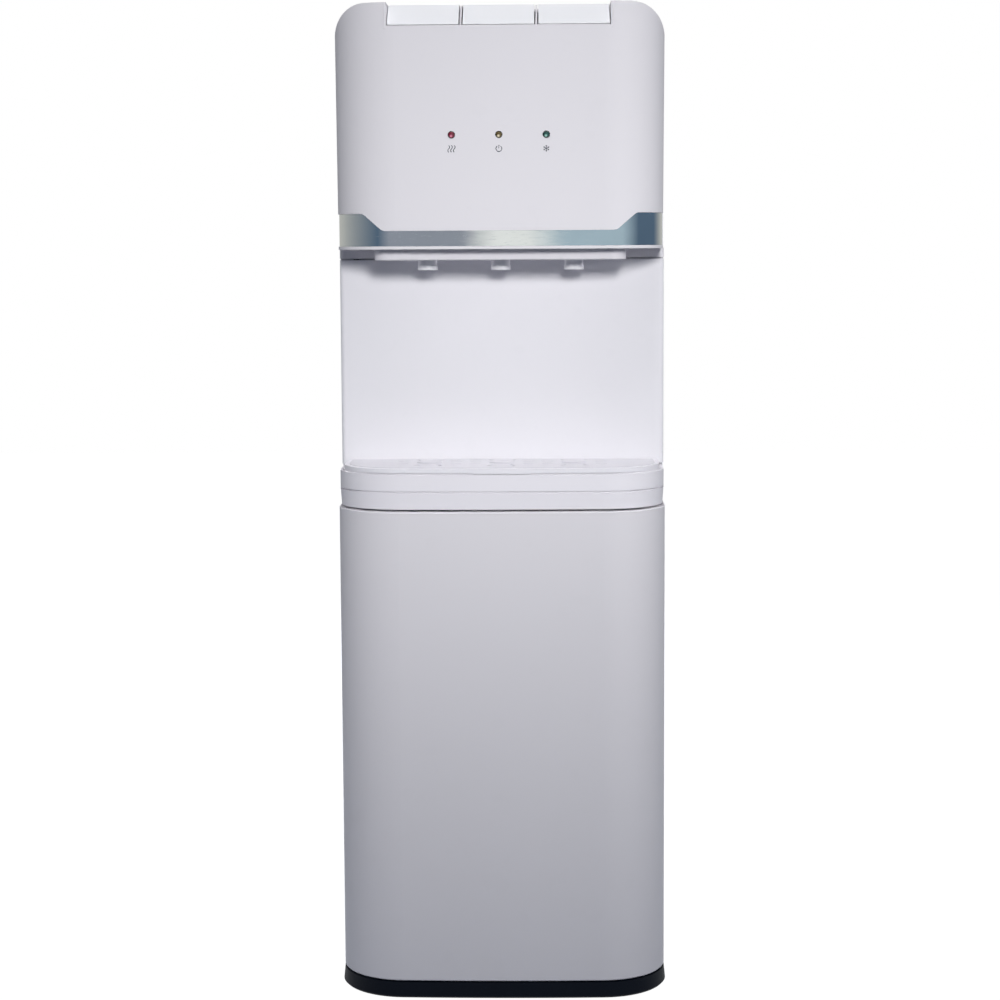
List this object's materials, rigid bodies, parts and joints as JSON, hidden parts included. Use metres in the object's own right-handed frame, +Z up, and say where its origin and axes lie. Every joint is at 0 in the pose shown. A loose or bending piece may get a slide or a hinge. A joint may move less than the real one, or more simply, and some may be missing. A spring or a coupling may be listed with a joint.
{
  "type": "water dispenser",
  "caption": "Floor-standing water dispenser with a bottle bay behind a door, push keys above the spouts, a chrome band and a lift-out drip tray.",
  "frame": {"origin": "on the floor under the middle of the cabinet", "axes": "+Z up, the front faces -Y, +X to the viewer's right"},
  "size_m": [0.333, 0.35, 0.993],
  "materials": {
    "shell_white": "satin moulded",
    "splash_white": "satin moulded",
    "tray_white": "satin moulded",
    "grille_white": "satin moulded",
    "key_white": "polished",
    "steel_white": "powder coat",
    "plinth_black": "fine grain",
    "trim_black": "fine grain",
    "foot_rubber": "matte",
    "band_chrome": "polished",
    "liner_white": "vacuum formed",
    "nozzle_white": "polished",
    "inner_grey": "moulded",
    "steel_bare": "brushed",
    "magnet_dark": "sintered",
    "lamp_red": "clear tinted",
    "lamp_amber": "clear tinted",
    "lamp_green": "clear tinted",
    "board_green": "solder mask",
    "tank_plastic": "moulded",
    "foam_white": "bead foam",
    "sink_alloy": "extruded",
    "module_white": "ceramic",
    "pump_black": "moulded",
    "hose_clear": "silicone",
    "rocker_red": "polished",
    "rocker_green": "polished"
  },
  "bodies": {
    "cabinet": {"head_front": "shell_white", "top_cover": "shell_white", "tray_housing": "shell_white", "head_floor": "shell_white", "spout_cover": "shell_white", "splash_panel": "splash_white", "side_panel_left": "steel_white", "side_panel_right": "steel_white", "back_panel": "steel_white", "mid_deck": "steel_white", "base_plinth": "plinth_black", "switch_housing": "trim_black", "cord_bush": "trim_black", "fan_frame": "trim_black", "rubber_feet": "foot_rubber", "chrome_band": "band_chrome", "bay_liner": "liner_white", "bottle_platform": "liner_white", "tap_hot": "nozzle_white", "tap_room": "nozzle_white", "tap_cold": "nozzle_white", "key_frame": "inner_grey", "probe_holder": "inner_grey", "bottle_probe": "inner_grey", "hinge_top": "steel_bare", "hinge_bottom": "steel_bare", "key_pivot_rod": "steel_bare", "panel_screws": "steel_bare", "hot_tank": "steel_bare", "tank_shelf": "steel_bare", "door_magnet": "magnet_dark", "indicator_hot": "lamp_red", "indicator_power": "lamp_amber", "indicator_cold": "lamp_green", "indicator_board": "board_green", "control_board": "board_green", "cold_tank": "tank_plastic", "tank_insulation": "foam_white", "cold_block": "sink_alloy", "heat_sink": "sink_alloy", "peltier_module": "module_white", "water_pump": "pump_black", "water_hoses": "hose_clear", "suction_hose": "hose_clear"},
    "door": {"door_panel": "shell_white", "door_liner": "liner_white", "door_strike": "steel_bare"},
    "drip_tray": {"drip_tray": "tray_white"},
    "drip_grille": {"drip_grille": "grille_white"},
    "fan_rotor": {"fan_rotor": "trim_black"},
    "rocker_heat": {"rocker_heat": "rocker_red"},
    "rocker_cool": {"rocker_cool": "rocker_green"},
    "key_hot": {"key_hot": "key_white"},
    "push_rod_hot": {"push_rod_hot": "inner_grey"},
    "key_room": {"key_room": "key_white"},
    "push_rod_room": {"push_rod_room": "inner_grey"},
    "key_cold": {"key_cold": "key_white"},
    "push_rod_cold": {"push_rod_cold": "inner_grey"}
  },
  "joints": [
    {"name": "door_hinge", "type": "hinge", "parent": "cabinet", "child": "door", "pos_m": [0.154, -0.078, 0.26], "axis": [0, 0, 1], "range_deg": [0, 100]},
    {"name": "tray_lift", "type": "slide", "parent": "cabinet", "child": "drip_tray", "axis": [0, 0, 1], "range_m": [0, 0.12]},
    {"name": "grille_lift", "type": "slide", "parent": "drip_tray", "child": "drip_grille", "axis": [0, 0, 1], "range_m": [0, 0.06]},
    {"name": "fan_spin", "type": "hinge", "parent": "cabinet", "child": "fan_rotor", "pos_m": [0, 0.152, 0.86], "axis": [0, 1, 0], "continuous": true},
    {"name": "rocker_heat_tilt", "type": "hinge", "parent": "cabinet", "child": "rocker_heat", "pos_m": [-0.103, 0.1605, 0.7], "axis": [-1, 0, 0], "range_deg": [0, 16]},
    {"name": "rocker_cool_tilt", "type": "hinge", "parent": "cabinet", "child": "rocker_cool", "pos_m": [-0.077, 0.1605, 0.7], "axis": [-1, 0, 0], "range_deg": [0, 16]},
    {"name": "key_hot_press", "type": "hinge", "parent": "cabinet", "child": "key_hot", "pos_m": [-0.0733, -0.08, 0.977], "axis": [1, 0, 0], "range_deg": [0, 6], "stiffness_Nm_per_rad": 0.5, "springref_deg": -11.46},
    {"name": "rod_hot_drop", "type": "slide", "parent": "cabinet", "child": "push_rod_hot", "axis": [0, 0, -1], "range_m": [0, 0.0032]},
    {"name": "key_room_press", "type": "hinge", "parent": "cabinet", "child": "key_room", "pos_m": [0, -0.08, 0.977], "axis": [1, 0, 0], "range_deg": [0, 6], "stiffness_Nm_per_rad": 0.5, "springref_deg": -11.46},
    {"name": "rod_room_drop", "type": "slide", "parent": "cabinet", "child": "push_rod_room", "axis": [0, 0, -1], "range_m": [0, 0.0032]},
    {"name": "key_cold_press", "type": "hinge", "parent": "cabinet", "child": "key_cold", "pos_m": [0.0733, -0.08, 0.977], "axis": [1, 0, 0], "range_deg": [0, 6], "stiffness_Nm_per_rad": 0.5, "springref_deg": -11.46},
    {"name": "rod_cold_drop", "type": "slide", "parent": "cabinet", "child": "push_rod_cold", "axis": [0, 0, -1], "range_m": [0, 0.0032]}
  ],
  "couplings": [
    {"joint": "rod_hot_drop", "follows": "key_hot_press", "m_per_rad": 0.0285},
    {"joint": "rod_room_drop", "follows": "key_room_press", "m_per_rad": 0.0285},
    {"joint": "rod_cold_drop", "follows": "key_cold_press", "m_per_rad": 0.0285}
  ]
}
